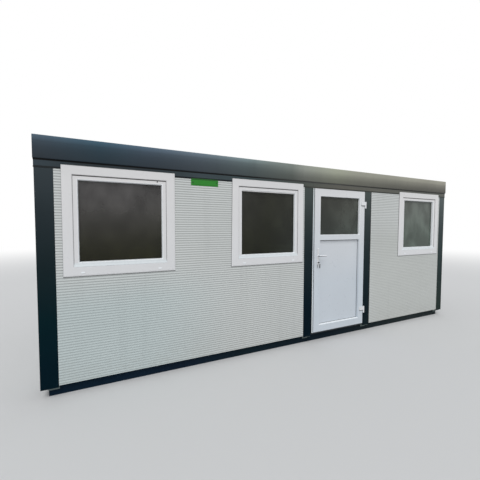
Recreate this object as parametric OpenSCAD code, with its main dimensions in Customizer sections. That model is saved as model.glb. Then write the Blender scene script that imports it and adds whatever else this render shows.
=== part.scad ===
// Portable site cabin: a long box on a recessed steel base, with ribbed sandwich walls,
// folded dark corner and door posts, a two-band eaves, three plastic windows and one
// outward-opening plastic door. Front faces -Y, length runs along X.
// The origin is under the middle of the cabin, at ground level.

/* [Cabin] */
// Length over the corner posts
cabin_l = 6058; // [5600:1:7600]
// Width over the corner posts
cabin_w = 2438; // [2100:1:3000]
// Height of the walls, from the base rails to the ceiling
wall_h = 2120; // [2060:1:2600]
// Thickness of the sandwich walls
wall_t = 100; // [97:1:120]

/* [Base] */
// Height of the base rails
rail_h = 110; // [90:1:200]
// Width of the base rail flanges
rail_flange = 65; // [62:1:100]
// Steel thickness of the base rails
rail_t = 4; // [3:0.5:8]
// How far the base rails stand back from the walls
rail_setback = 55; // [50:1:60]
// Number of floor joists, an odd number so that one lies in the middle
joist_count = 9; // [7:2:13]
// Flange width of the joists
joist_w = 50; // [40:1:80]
// Steel thickness of the joists
joist_t = 3; // [2:0.5:6]
// Thickness of the floor deck
deck_t = 20; // [15:1:24]

/* [Posts] */
// Width of the folded corner posts on each face
cover_w = 143; // [125:1:160]
// Sheet thickness of the folded posts
sheet_t = 3; // [2:0.5:4]
// How far the folded posts hang below the walls
cover_drop = 17; // [5:1:22]
// Width of the folded post left of the door
cover_left_w = 140; // [80:1:180]
// Width of the folded post right of the door
cover_right_w = 134; // [100:1:160]
// Wall thickness of the steel tubes inside the posts
tube_t = 4; // [3:0.5:6]
// Width of the brackets that carry the folded posts
bracket_w = 88; // [60:1:90]
// Steel thickness of the brackets
bracket_t = 4; // [3:0.5:6]
// How far the brackets reach down the base rail
bracket_leg = 39; // [30:1:60]

/* [Eaves and roof] */
// Height of the lower dark band above the door and the windows
band_h = 79; // [50:1:110]
// From the underside of the lower band up to the ceiling
band_drop = 123; // [110:1:140]
// Steel thickness of the top rails
top_rail_t = 4; // [3:0.5:6]
// Width of the top rail flanges
top_flange = 80; // [76:1:120]
// Height of the fascia
fascia_h = 205; // [180:1:260]
// How far the front and back fascia stand out from the walls
fascia_proj = 15; // [11:1:30]
// How far the end fascias stand out from the walls
fascia_end_proj = 7; // [7:1:11]
// Width of the fold on top of the fascia
fascia_top_w = 60; // [40:1:70]
// Sheet thickness of the fascia
fascia_t = 3; // [2:0.5:4]
// Thickness of the ceiling and roof panel
ceiling_t = 100; // [80:1:120]
// Height of the roof sheet's ribs
roof_rib_h = 25; // [15:1:35]
// Distance between the roof sheet's ribs
roof_rib_pitch = 250; // [180:1:400]
// Thickness of the roof sheet
roof_t = 2; // [1.5:0.5:4]

/* [Windows] */
// Width of a window over its frame
win_w = 1020; // [700:1:1100]
// Height of a window over its frame
win_h = 1020; // [700:1:1100]
// How far a window frame laps over the lower dark band
win_lap = 38; // [20:1:60]
// From the left corner post to the first window
win_1_gap = 64; // [30:1:120]
// From the second window to the post left of the door
win_2_gap = 28; // [20:1:120]
// From the third window to the right corner post
win_3_gap = 46; // [30:1:120]
// Gap round a window frame in the wall and the dark band
win_clear = 5; // [3:1:8]
// How far a window frame stands out from the wall
win_proud = 12; // [8:1:30]

/* [Door] */
// From the cabin's left end to the door frame
door_x = 3094; // [2600:1:3300]
// Width of the doorway between its two posts
door_w = 976; // [850:1:1100]
// Visible width of the door frame
door_frame_face = 22; // [18:1:30]
// How far the door leaf stands out from the wall
leaf_proud = 20; // [15:1:24]
// Clearance round the moving leaf
leaf_clear = 5; // [5:1:8]
// Width of the leaf's stiles and rails
stile_w = 100; // [90:1:120]
// Height of the door's glass
door_glass_h = 523; // [300:1:700]
// Height of the rail between the glass and the lower panel
mid_rail_h = 79; // [60:1:120]
// Height of the leaf's underside above the base rails
leaf_lift = 27; // [26:1:36]
// Height of the threshold
sill_h = 20; // [12:1:20]

/* [Door fittings] */
// Height of the lever above the base rails
lever_z = 1084; // [950:1:1150]
// From the lever down to the lock cylinder
lock_drop = 92; // [70:1:95]
// Length of the lever's grip
lever_l = 118; // [100:1:150]
// Height of the handle plates
plate_h = 245; // [220:1:270]
// Width of the handle plates
plate_w = 30; // [26:1:40]
// Radius of the hinge barrels
hinge_r = 12; // [10:0.5:13]
// Height of a hinge
hinge_h = 96; // [80:1:130]
// From the end of the leaf to the middle of a hinge
hinge_inset = 194; // [150:1:300]
// How much farther from the leaf's end the lower hinge sits
hinge_low_rise = 16; // [0:1:60]
// Radius of the hinge pins
hinge_pin_r = 5; // [4:0.5:7]

/* [Marker plate] */
// From the cabin's left end to the green plate
marker_x = 1413; // [1260:1:1500]
// Length of the green plate
marker_l = 315; // [200:1:380]
// Height of the green plate
marker_h = 58; // [40:1:80]
// Thickness of the green plate
marker_t = 4; // [2:1:6]

/* [Hidden] */

$fn = 48;

// Colours
steel_dark = [0.16, 0.19, 0.22];
panel_grey = [0.74, 0.75, 0.75];
zinc = [0.55, 0.57, 0.58];
plastic_white = [0.87, 0.88, 0.90];
glass_dark = [0.10, 0.12, 0.13, 0.6];
timber = [0.50, 0.42, 0.33];

// Sides count round the cabin: 0 front, 1 right, 2 back, 3 left.
// A point on a side is [along from its left end, depth inward, height above the base rails].
function side_len(i) = i % 2 == 0 ? cabin_l : cabin_w;
module on_side(i) {
    rotate([0, 0, 90 * i])
        translate([-side_len(i) / 2, -side_len(i + 1) / 2, rail_h])
            children();
}

// Outline of a side member, [depth, height], run along its side and mitred at both ends.
// The corner holds the points between the outer and the inner end of the mitre's plan.
mitre_out = 60;
mitre_in = 300;
module side_member(i, outline, corner = []) {
    len = side_len(i);
    run = len(corner) > 0 ? corner[0][0] - corner[0][1] : 0;
    left = concat([[run - mitre_out, -mitre_out]], corner, [[mitre_in, mitre_in]]);
    right = [for (k = [len(left) - 1:-1:0]) [len - left[k][0], left[k][1]]];
    on_side(i)
        intersection() {
            translate([-2 * mitre_out, 0, 0])
                rotate([90, 0, 90])
                    linear_extrude(len + 4 * mitre_out) polygon(outline);
            translate([0, 0, -rail_h])
                linear_extrude(rail_h + roof_top + mitre_in) polygon(concat(left, right));
        }
}

// A w by h block whose four edges follow one outline from front to back,
// each point [inward from the edge, depth]. Its lower left corner is at the origin.
module edge_block(w, h, outline) {
    back = [for (k = [len(outline) - 1:-1:0]) outline[k]];
    intersection() {
        linear_extrude(h)
            polygon(concat(outline, [for (p = back) [w - p[0], p[1]]]));
        rotate([90, 0, 90])
            linear_extrude(w)
                polygon(concat([for (p = outline) [p[1], p[0]]],
                    [for (p = back) [p[1], h - p[0]]]));
    }
}

// A w by h frame of one mitred profile, between its outer and its inner outline
module mitred_frame(w, h, outer, inner) {
    difference() {
        edge_block(w, h, outer);
        edge_block(w, h, inner);
    }
}

// Heights above the base rails
band_z = wall_h - band_drop;
fascia_z = band_z + band_h;
roof_z = wall_h + ceiling_t;
roof_top = fascia_z + fascia_h;

// Base rails: channels that open inward
rail_outline = [[rail_setback, -rail_h], [rail_setback + rail_flange, -rail_h],
    [rail_setback + rail_flange, -rail_h + rail_t], [rail_setback + rail_t, -rail_h + rail_t],
    [rail_setback + rail_t, -rail_t], [rail_setback + rail_flange, -rail_t],
    [rail_setback + rail_flange, 0], [rail_setback, 0]];
module base_rail(i) {
    color(steel_dark) side_member(i, rail_outline);
}

// Joists: channels across the cabin, between the flanges of the long rails
rail_inner = rail_setback + rail_flange;
joist_pitch = (cabin_l - 2 * rail_inner) / (joist_count + 1);
module floor_joists() {
    joist_l = cabin_w - 2 * rail_inner;
    middle = (joist_count - 1) / 2;
    color(steel_dark)
        for (k = [-middle:middle])
            translate([k * joist_pitch - joist_w / 2, joist_l / 2, 0])
                rotate([90, 0, 0])
                    linear_extrude(joist_l)
                        difference() {
                            square([joist_w, rail_h]);
                            translate([joist_t, joist_t])
                                square([joist_w, rail_h - 2 * joist_t]);
                        }
}

// Corner tubes stand on the base rails just inside the folded posts
tube_out = rail_setback;
tube_in = cover_w - sheet_t;
module corner_notches(height) {
    for (i = [0:3])
        on_side(i)
            translate([0, 0, -1])
                cube([tube_in, tube_in, height + 2]);
}

module floor_deck() {
    color(timber)
        difference() {
            translate([wall_t - cabin_l / 2, wall_t - cabin_w / 2, rail_h])
                cube([cabin_l - 2 * wall_t, cabin_w - 2 * wall_t, deck_t]);
            corner_notches(deck_t);
        }
}

module tube(w, d, h) {
    linear_extrude(h)
        difference() {
            square([w, d]);
            translate([tube_t, tube_t]) square([w - 2 * tube_t, d - 2 * tube_t]);
        }
}

cover_left_x = door_x - cover_left_w;
cover_right_x = door_x + door_w;
module frame_posts() {
    color(zinc) {
        for (i = [0:3])
            on_side(i)
                translate([tube_out, tube_out, 0])
                    tube(tube_in - tube_out, tube_in - tube_out, wall_h);
        on_side(0)
            for (post = [[cover_left_x, cover_left_w], [cover_right_x, cover_right_w]])
                translate([post[0] + sheet_t, tube_out, 0])
                    tube(post[1] - 2 * sheet_t, wall_t - tube_out, wall_h);
    }
}

// Brackets fold out from the base rails to carry the lower ends of the folded posts
module foot_bracket() {
    translate([0, -sheet_t, -cover_drop - bracket_t])
        cube([bracket_w, rail_setback + sheet_t, bracket_t]);
    translate([0, rail_setback - bracket_t, -cover_drop - bracket_leg])
        cube([bracket_w, bracket_t, bracket_leg]);
}

module foot_brackets() {
    color(zinc) {
        for (i = [0:3])
            on_side(i) {
                translate([rail_setback, 0, 0]) foot_bracket();
                translate([side_len(i) - rail_setback - bracket_w, 0, 0]) foot_bracket();
            }
        on_side(0)
            for (post = [[cover_left_x, cover_left_w], [cover_right_x, cover_right_w]])
                translate([post[0] + (post[1] - bracket_w) / 2, 0, 0]) foot_bracket();
    }
}

// Folded corner post: an outer angle with a return along each wall's end
bend_r = 6;
function arc(centre, r, from, to, steps) =
    [for (k = [0:steps]) centre + r * [cos(from + (to - from) * k / steps),
        sin(from + (to - from) * k / steps)]];
module corner_cover(i) {
    inner_r = bend_r - sheet_t;
    angle_outline = concat([[cover_w, -sheet_t], [cover_w, 0]],
        arc([inner_r, inner_r], inner_r, 270, 180, 4),
        [[0, cover_w], [-sheet_t, cover_w]],
        arc([inner_r, inner_r], bend_r, 180, 270, 4));
    color(steel_dark)
        on_side(i) {
            translate([0, 0, -cover_drop])
                linear_extrude(band_z + cover_drop) polygon(angle_outline);
            linear_extrude(band_z) {
                translate([cover_w - sheet_t, -sheet_t]) square([sheet_t, wall_t + sheet_t]);
                translate([-sheet_t, cover_w - sheet_t]) square([wall_t + sheet_t, sheet_t]);
            }
        }
}

module door_post_covers() {
    color(steel_dark)
        on_side(0)
            for (post = [[cover_left_x, cover_left_w], [cover_right_x, cover_right_w]])
                translate([post[0], 0, 0]) {
                    translate([0, -sheet_t, -cover_drop])
                        cube([post[1], sheet_t, band_z + cover_drop]);
                    for (x = [0, post[1] - sheet_t])
                        translate([x, -sheet_t, 0])
                            cube([sheet_t, wall_t + sheet_t, band_z]);
                }
}

// Windows: places of their lower left corners
win_z = band_z + win_lap - win_h;
win_x = [cover_w + win_1_gap, cover_left_x - win_2_gap - win_w,
    cabin_l - cover_w - win_3_gap - win_w];
// How far the frame's flange laps over the wall
win_flange = 45;

module window_hole(n) {
    translate([win_x[n] + win_flange, -1, win_z + win_flange])
        cube([win_w - 2 * win_flange, wall_t + 2, win_h - 2 * win_flange]);
}

module front_wall(from, to, windows) {
    color(panel_grey)
        on_side(0)
            difference() {
                translate([from, 0, 0]) cube([to - from, wall_t, wall_h]);
                for (n = windows) window_hole(n);
            }
}

module plain_wall(i) {
    color(panel_grey)
        on_side(i)
            translate([cover_w, 0, 0])
                cube([side_len(i) - 2 * cover_w, wall_t, wall_h]);
}

// The door frame's top stands behind the lower dark band
leaf_top = band_z - leaf_clear;
door_frame_top = leaf_top + door_frame_face;
module door_lintel() {
    color(panel_grey)
        on_side(0)
            translate([door_x, 0, door_frame_top])
                cube([door_w, wall_t, wall_h - door_frame_top]);
}

// Top rails: the lower part of the web is the dark band over the windows
top_outline = [[-top_rail_t, band_z], [0, band_z], [0, roof_z],
    [top_flange, roof_z], [top_flange, roof_z + top_rail_t], [-top_rail_t, roof_z + top_rail_t]];
module top_rail(i) {
    color(steel_dark)
        difference() {
            side_member(i, top_outline);
            if (i == 0)
                on_side(0)
                    for (x = win_x)
                        translate([x - win_clear, -top_rail_t - 1, band_z - 1])
                            cube([win_w + 2 * win_clear, top_rail_t + 2,
                                win_lap + win_clear + 1]);
        }
}

// Fascia: folded over the roof's edge above, in front and back also folded in below
function fascia_top(proj) = concat(
    arc([bend_r - proj, roof_top - bend_r], bend_r - fascia_t, 180, 90, 4),
    [[fascia_top_w - fascia_t, roof_top - fascia_t],
        [fascia_top_w - fascia_t, roof_z + top_rail_t], [fascia_top_w, roof_z + top_rail_t],
        [fascia_top_w, roof_top]],
    arc([bend_r - proj, roof_top - bend_r], bend_r, 90, 180, 4));
bend_depth = bend_r - fascia_proj;
fascia_outline = concat(
    [[-top_rail_t, fascia_z], [-top_rail_t, fascia_z + fascia_t]],
    arc([bend_depth, fascia_z + bend_r], bend_r - fascia_t, 270, 180, 4),
    fascia_top(fascia_proj),
    arc([bend_depth, fascia_z + bend_r], bend_r, 180, 270, 4));
fascia_end_outline = concat(
    [[-fascia_end_proj, fascia_z], [fascia_t - fascia_end_proj, fascia_z]],
    fascia_top(fascia_end_proj));
module fascia(i) {
    knee = fascia_t - fascia_end_proj;
    color(steel_dark)
        if (i % 2 == 0)
            side_member(i, fascia_outline, [[knee, fascia_t - fascia_proj], [knee, knee]]);
        else
            side_member(i, fascia_end_outline, [[fascia_t - fascia_proj, knee], [knee, knee]]);
}

module ceiling_panel() {
    color(plastic_white)
        translate([-cabin_l / 2, -cabin_w / 2, rail_h + wall_h])
            cube([cabin_l, cabin_w, ceiling_t]);
}

// Roof sheet: trapezoid ribs across the cabin, inside the fascia
roof_gap = 2;
rib_top_w = 40;
rib_slope_w = 20;
module roof_sheet() {
    edge = fascia_top_w + roof_gap;
    span = cabin_l - 2 * edge;
    ribs = floor((span - roof_rib_pitch / 2) / roof_rib_pitch);
    first = (span - (ribs - 1) * roof_rib_pitch) / 2;
    half_foot = rib_top_w / 2 + rib_slope_w;
    crest = [for (k = [0:ribs - 1]) each [
        [first + k * roof_rib_pitch - half_foot, 0],
        [first + k * roof_rib_pitch - rib_top_w / 2, roof_rib_h],
        [first + k * roof_rib_pitch + rib_top_w / 2, roof_rib_h],
        [first + k * roof_rib_pitch + half_foot, 0]]];
    upper = [for (p = crest) p + [0, roof_t]];
    lower = [for (k = [len(crest) - 1:-1:0]) crest[k]];
    color(zinc)
        translate([edge - cabin_l / 2, cabin_w / 2 - edge, rail_h + roof_z + top_rail_t])
            rotate([90, 0, 0])
                linear_extrude(cabin_w - 2 * edge)
                    polygon(concat([[0, roof_t]], upper, [[span, roof_t], [span, 0]],
                        lower, [[0, 0]]));
}

// Window profiles, [inward from the frame's edge, depth from the frame's face].
// The inner outlines run on past both faces, so that they cut right through.
past = 1;
frame_lip_w = 82;
frame_nose = 5;
sash_depth = 9;
glass_depth = 42;
glass_unit_t = 24;
glass_edge = 118;
sash_w = 128;
bead_t = 12;
frame_body = win_flange + win_clear;
frame_web = 16;
sash_edge = frame_body + frame_web + 4;
frame_back = glass_depth + 30;
sash_back = glass_depth + glass_unit_t + bead_t;
win_frame_outer = [[3, 0], [0, 3], [0, win_proud], [frame_body, win_proud],
    [frame_body, frame_back]];
win_frame_inner = [[frame_lip_w - frame_nose, -past], [frame_lip_w - frame_nose, 0],
    [frame_lip_w, frame_nose], [frame_lip_w, sash_depth], [frame_body + frame_web, sash_depth],
    [frame_body + frame_web, frame_back + past]];
win_sash_outer = [[sash_edge, sash_depth], [sash_edge, sash_back]];
sash_front = sash_w - 8;
sash_bevel = 3;
win_sash_inner = [[sash_front, sash_depth - past], [sash_front, sash_depth],
    [sash_front + sash_bevel, sash_depth + sash_bevel],
    [sash_w, glass_depth - 2], [sash_w, glass_depth],
    [glass_edge, glass_depth], [glass_edge, glass_depth + glass_unit_t],
    [sash_w, glass_depth + glass_unit_t], [sash_w, sash_back - 8], [sash_w - 6, sash_back],
    [sash_w - 6, sash_back + past]];

module at_window(n) {
    on_side(0)
        translate([win_x[n], -win_proud, win_z])
            children();
}

module window_frame(n) {
    color(plastic_white) at_window(n) mitred_frame(win_w, win_h, win_frame_outer, win_frame_inner);
}

module window_sash(n) {
    color(plastic_white) at_window(n) mitred_frame(win_w, win_h, win_sash_outer, win_sash_inner);
}

module window_glass() {
    color(glass_dark)
        for (n = [0:2])
            at_window(n)
                translate([glass_edge, glass_depth, glass_edge])
                    cube([win_w - 2 * glass_edge, glass_unit_t, win_h - 2 * glass_edge]);
}

// Oval caps over the drain slots in the lower frame bar
cap_w = 34;
cap_h = 13;
cap_t = 4;
cap_inset = 155;
cap_z = 28;
module drain_cap() {
    rotate([90, 0, 0])
        linear_extrude(cap_t) {
            square([cap_w - cap_h, cap_h], center = true);
            for (x = [-1, 1])
                translate([x * (cap_w - cap_h) / 2, 0]) circle(d = cap_h);
        }
}

module window_drain_caps() {
    color(plastic_white)
        for (n = [0:2])
            at_window(n)
                for (x = [cap_inset, win_w - cap_inset])
                    translate([x, 0, cap_z]) drain_cap();
}

// Door frame: two jambs and a head, with a stop behind the leaf
leaf_lap = 6;
jamb_edge = door_frame_face + leaf_lap;
stop_depth = 45;
jamb_depth = 70;
stop_w = door_frame_face + 24;
door_frame_outer = [[0, 0], [0, jamb_depth]];
door_frame_inner = [[jamb_edge, -past], [jamb_edge, stop_depth], [stop_w, stop_depth],
    [stop_w, jamb_depth + past]];
module door_frame() {
    color(plastic_white)
        on_side(0)
            translate([door_x, 0, 0])
                intersection() {
                    translate([0, 0, -2 * stop_w])
                        mitred_frame(door_w, door_frame_top + 2 * stop_w,
                            door_frame_outer, door_frame_inner);
                    translate([-1, -1, sill_h])
                        cube([door_w + 2, jamb_depth + 2, door_frame_top]);
                }
}

// Threshold: the jambs stand on it, and a low ridge between them closes behind the leaf
ridge_h = 12;
ridge_slope = 3;
module door_threshold() {
    color(zinc)
        on_side(0) {
            translate([door_x, 0, 0]) cube([door_w, wall_t, sill_h]);
            translate([door_x + stop_w, stop_depth, sill_h])
                rotate([90, 0, 90])
                    linear_extrude(door_w - 2 * stop_w)
                        polygon([[0, 0], [jamb_depth - stop_depth, 0],
                            [jamb_depth - stop_depth - ridge_slope, ridge_h],
                            [ridge_slope, ridge_h]]);
        }
}

// Door leaf: a mitred frame with a flange over the door frame, and a rail under the glass
leaf_x = door_x + door_frame_face;
leaf_w = door_w - 2 * door_frame_face;
leaf_h = leaf_top - leaf_lift;
flange_t = leaf_proud - leaf_clear;
leaf_t = leaf_proud + stop_depth - leaf_clear;
leaf_step = leaf_lap + 8;
pane_depth = 32;
pane_t = 20;
pane_lap = 10;
bead = stile_w - pane_lap;
leaf_outer = [[2, 0], [0, 2], [0, flange_t], [leaf_step, flange_t], [leaf_step, leaf_t]];
leaf_front = stile_w - 5;
leaf_bevel = 3;
leaf_inner = [[leaf_front, -past], [leaf_front, 0], [leaf_front + leaf_bevel, leaf_bevel],
    [stile_w, pane_depth - 2], [stile_w, pane_depth], [bead, pane_depth], [bead, pane_depth + pane_t],
    [stile_w, pane_depth + pane_t], [stile_w, leaf_t - 4], [stile_w - 4, leaf_t],
    [stile_w - 4, leaf_t + past]];
glass_z = leaf_h - stile_w - door_glass_h;
mid_rail_z = glass_z - mid_rail_h;
// The handle stands a little inward of the left stile's middle
handle_x = 57;
spindle_r = 4;
spindle_hole_r = 9;

module at_leaf() {
    on_side(0)
        translate([leaf_x, -leaf_proud, leaf_lift])
            children();
}

module door_leaf() {
    color(plastic_white)
        at_leaf()
            difference() {
                edge_block(leaf_w, leaf_h, leaf_outer);
                edge_block(leaf_w, mid_rail_z + stile_w, leaf_inner);
                translate([0, 0, glass_z - stile_w])
                    edge_block(leaf_w, leaf_h - glass_z + stile_w, leaf_inner);
                translate([handle_x, -1, lever_z - leaf_lift])
                    rotate([-90, 0, 0]) cylinder(r = spindle_hole_r, h = leaf_t + 2);
            }
}

module door_glass() {
    color(glass_dark)
        at_leaf()
            translate([bead, pane_depth, glass_z - pane_lap])
                cube([leaf_w - 2 * bead, pane_t, door_glass_h + 2 * pane_lap]);
}

// Lower panel: flat, in the leaf's groove like the glass above
module door_infill() {
    color(plastic_white)
        at_leaf()
            translate([bead, pane_depth, bead])
                cube([leaf_w - 2 * bead, pane_t, mid_rail_z - bead + pane_lap]);
}

// Handle plates, one on each face of the leaf, with the lock cylinder's end
plate_t = 8;
plate_top_z = lever_z + 106;
cylinder_r = 8.5;
cylinder_out = 5;
lever_neck_r = 9;
neck_clear = 1;
module handle_plate() {
    difference() {
        union() {
            rotate([90, 0, 0])
                linear_extrude(plate_t) {
                    translate([-plate_w / 2, plate_w / 2 - plate_h])
                        square([plate_w, plate_h - plate_w]);
                    translate([0, -plate_w / 2]) circle(d = plate_w);
                    translate([0, plate_w / 2 - plate_h]) circle(d = plate_w);
                }
            translate([0, 0, lever_z - lock_drop - plate_top_z])
                rotate([90, 0, 0]) cylinder(r = cylinder_r, h = plate_t + cylinder_out);
        }
        translate([0, 1, lever_z - plate_top_z])
            rotate([90, 0, 0]) cylinder(r = lever_neck_r + neck_clear, h = plate_t + 2);
    }
}

module door_plates() {
    color(plastic_white)
        at_leaf()
            translate([handle_x, 0, plate_top_z - leaf_lift]) {
                handle_plate();
                translate([0, leaf_t, 0]) mirror([0, 1, 0]) handle_plate();
            }
}

// Lever handle: one turning piece with a grip on each side of the leaf
neck_l = 40;
grip_r = 9;
module lever_half() {
    rotate([90, 0, 0]) cylinder(r = lever_neck_r, h = plate_t + neck_l);
    translate([0, -plate_t - neck_l, 0]) {
        sphere(r = grip_r);
        rotate([0, 90, 0]) cylinder(r = grip_r, h = lever_l - grip_r);
        translate([lever_l - grip_r, 0, 0]) sphere(r = grip_r);
    }
}

module door_lever() {
    color(plastic_white)
        at_leaf()
            translate([handle_x, 0, lever_z - leaf_lift]) {
                lever_half();
                rotate([-90, 0, 0]) cylinder(r = spindle_r, h = leaf_t);
                translate([0, leaf_t, 0]) mirror([0, 1, 0]) lever_half();
            }
}

// Hinges: the upper barrel rides on the leaf, the lower one and its pin stay on the frame
hinge_side_gap = 16;
hinge_front_gap = 2;
hinge_x = leaf_x + leaf_w + hinge_side_gap;
hinge_depth = -leaf_proud - hinge_front_gap;
hinge_low_share = 0.42;
hinge_low_h = hinge_low_share * hinge_h;
hinge_high_h = hinge_h - hinge_low_h;
knuckle_shift = hinge_low_h - hinge_h / 2;
hinge_z = [leaf_lift + hinge_inset + hinge_low_rise, leaf_top - hinge_inset];
knuckle_gap = 2;
// From the hinge's top down to the end of the pin and of its hole
pin_top = 8;
hole_top = 6;
pin_clear = 0.05;
flap_w = 90;
flap_t = 11;
flap_r = 10;
flap_drop = 5;
module at_hinges() {
    on_side(0)
        for (z = hinge_z)
            translate([hinge_x, hinge_depth, z + knuckle_shift])
                children();
}

module door_hinge_flaps() {
    barrel_h = hinge_high_h - knuckle_gap / 2;
    flap_h = barrel_h - flap_drop;
    color(plastic_white)
        at_hinges()
            difference() {
                translate([0, 0, knuckle_gap / 2]) {
                    cylinder(r = hinge_r, h = barrel_h);
                    translate([-flap_w, hinge_front_gap, 0])
                        rotate([90, 0, 0])
                            linear_extrude(flap_t) {
                                translate([flap_r, 0]) square([flap_w - flap_r, flap_h]);
                                translate([0, flap_r]) square([flap_r, flap_h - 2 * flap_r]);
                                for (z = [flap_r, flap_h - flap_r])
                                    translate([flap_r, z]) circle(r = flap_r);
                            }
                }
                cylinder(r = hinge_pin_r + pin_clear, h = hinge_high_h - hole_top);
            }
}

bracket_left = 8;
bracket_right = 6;
module door_hinge_brackets() {
    low_h = hinge_low_h - knuckle_gap / 2;
    color(plastic_white)
        at_hinges()
            translate([0, 0, -hinge_low_h]) {
                cylinder(r = hinge_r, h = low_h);
                cylinder(r = hinge_pin_r, h = hinge_h - pin_top);
                translate([-bracket_left, 0, 0])
                    cube([bracket_left + bracket_right, -hinge_depth, low_h]);
            }
}

// Plain green plate under the lower dark band
module marker_plate() {
    color("forestgreen")
        on_side(0)
            translate([marker_x, -marker_t, band_z - marker_h])
                cube([marker_l, marker_t, marker_h]);
}

base_rail(0);  // base_rail_front
base_rail(2);  // base_rail_back
union() {  // base_rails_end
    base_rail(1);
    base_rail(3);
}
floor_joists();
floor_deck();
foot_brackets();
frame_posts();
corner_cover(0);  // corner_cover_front_left
corner_cover(1);  // corner_cover_front_right
corner_cover(2);  // corner_cover_back_right
corner_cover(3);  // corner_cover_back_left
door_post_covers();
front_wall(cover_w, cover_left_x, [0, 1]);  // front_wall_left
front_wall(cover_right_x + cover_right_w, cabin_l - cover_w, [2]);  // front_wall_right
door_lintel();
plain_wall(2);  // back_wall
plain_wall(3);  // left_wall
plain_wall(1);  // right_wall
top_rail(0);  // top_rail_front
top_rail(2);  // top_rail_back
union() {  // top_rails_end
    top_rail(1);
    top_rail(3);
}
fascia(0);  // fascia_front
fascia(2);  // fascia_back
union() {  // fascia_ends
    fascia(1);
    fascia(3);
}
ceiling_panel();
roof_sheet();
window_frame(0);  // window_frame_1
window_frame(1);  // window_frame_2
window_frame(2);  // window_frame_3
window_sash(0);  // window_sash_1
window_sash(1);  // window_sash_2
window_sash(2);  // window_sash_3
window_glass();
window_drain_caps();
door_frame();
door_threshold();
door_hinge_brackets();
door_leaf();
door_glass();
door_infill();
door_plates();
door_hinge_flaps();
door_lever();
marker_plate();
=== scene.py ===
"""Looks of the portable site cabin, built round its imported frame. Metres, front faces -Y."""

import math

import bmesh
import bpy
from mathutils import Matrix, Vector


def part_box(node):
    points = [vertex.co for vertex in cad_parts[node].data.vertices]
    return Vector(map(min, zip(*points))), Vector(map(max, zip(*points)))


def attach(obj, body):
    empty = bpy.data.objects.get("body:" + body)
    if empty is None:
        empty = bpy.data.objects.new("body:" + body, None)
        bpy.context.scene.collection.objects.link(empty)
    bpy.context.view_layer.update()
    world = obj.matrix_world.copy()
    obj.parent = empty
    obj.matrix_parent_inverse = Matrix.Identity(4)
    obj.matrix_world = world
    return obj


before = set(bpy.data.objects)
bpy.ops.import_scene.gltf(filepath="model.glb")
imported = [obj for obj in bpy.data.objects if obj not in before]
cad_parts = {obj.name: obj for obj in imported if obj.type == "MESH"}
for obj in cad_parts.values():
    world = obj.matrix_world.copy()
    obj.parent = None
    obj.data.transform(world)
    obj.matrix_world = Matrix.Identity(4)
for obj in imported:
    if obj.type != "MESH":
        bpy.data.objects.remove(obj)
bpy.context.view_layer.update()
scene = bpy.context.scene

# Camera, as in the photograph
CAM_POS = Vector((-2.5074, -4.2986, 1.5877))
CAM_YAW, CAM_PITCH, CAM_ROLL = (math.radians(a) for a in (25.744, 2.663, 0.0986))
CAM_LENS = 21.6

forward = Vector((math.sin(CAM_YAW) * math.cos(CAM_PITCH),
                  math.cos(CAM_YAW) * math.cos(CAM_PITCH), -math.sin(CAM_PITCH)))
right = Vector((math.cos(CAM_YAW), -math.sin(CAM_YAW), 0))
up = right.cross(forward)
right, up = (right * math.cos(CAM_ROLL) + up * math.sin(CAM_ROLL),
             up * math.cos(CAM_ROLL) - right * math.sin(CAM_ROLL))
cam_data = bpy.data.cameras.new("camera")
cam_data.lens = CAM_LENS
cam_data.sensor_width = 36
cam_data.clip_end = 200
cam = bpy.data.objects.new("camera", cam_data)
scene.collection.objects.link(cam)
cam.matrix_world = (Matrix.Translation(CAM_POS)
                    @ Matrix((right, up, -forward)).transposed().to_4x4())
scene.camera = cam


# Cabin sizes, from the nodes
def span(node):
    """The lowest and the highest corner of a node."""
    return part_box(node)


FACE_Y = span("front_wall_left")[0].y
BACK_Y = span("back_wall")[1].y
LEFT_X = span("left_wall")[0].x
RIGHT_X = span("right_wall")[1].x
WALL_Z = span("front_wall_left")[0].z
BAND_Z = span("top_rail_front")[0].z
# Stretches, in metres, over which the painted light on the coatings and panes changes
UNDER_EAVES_Z, PLASTIC_Z, FASCIA_Z_SPAN = (0.1, 2.11), (0.1, 2.1), (2.19, 2.39)
PANES_X, PANES_Z = (-2.8, 2.8), (1.30, 2.02)
HALF_LENGTH = 3.05
RIB_PITCH = 0.0252
LEVER_H = 0.020


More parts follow.
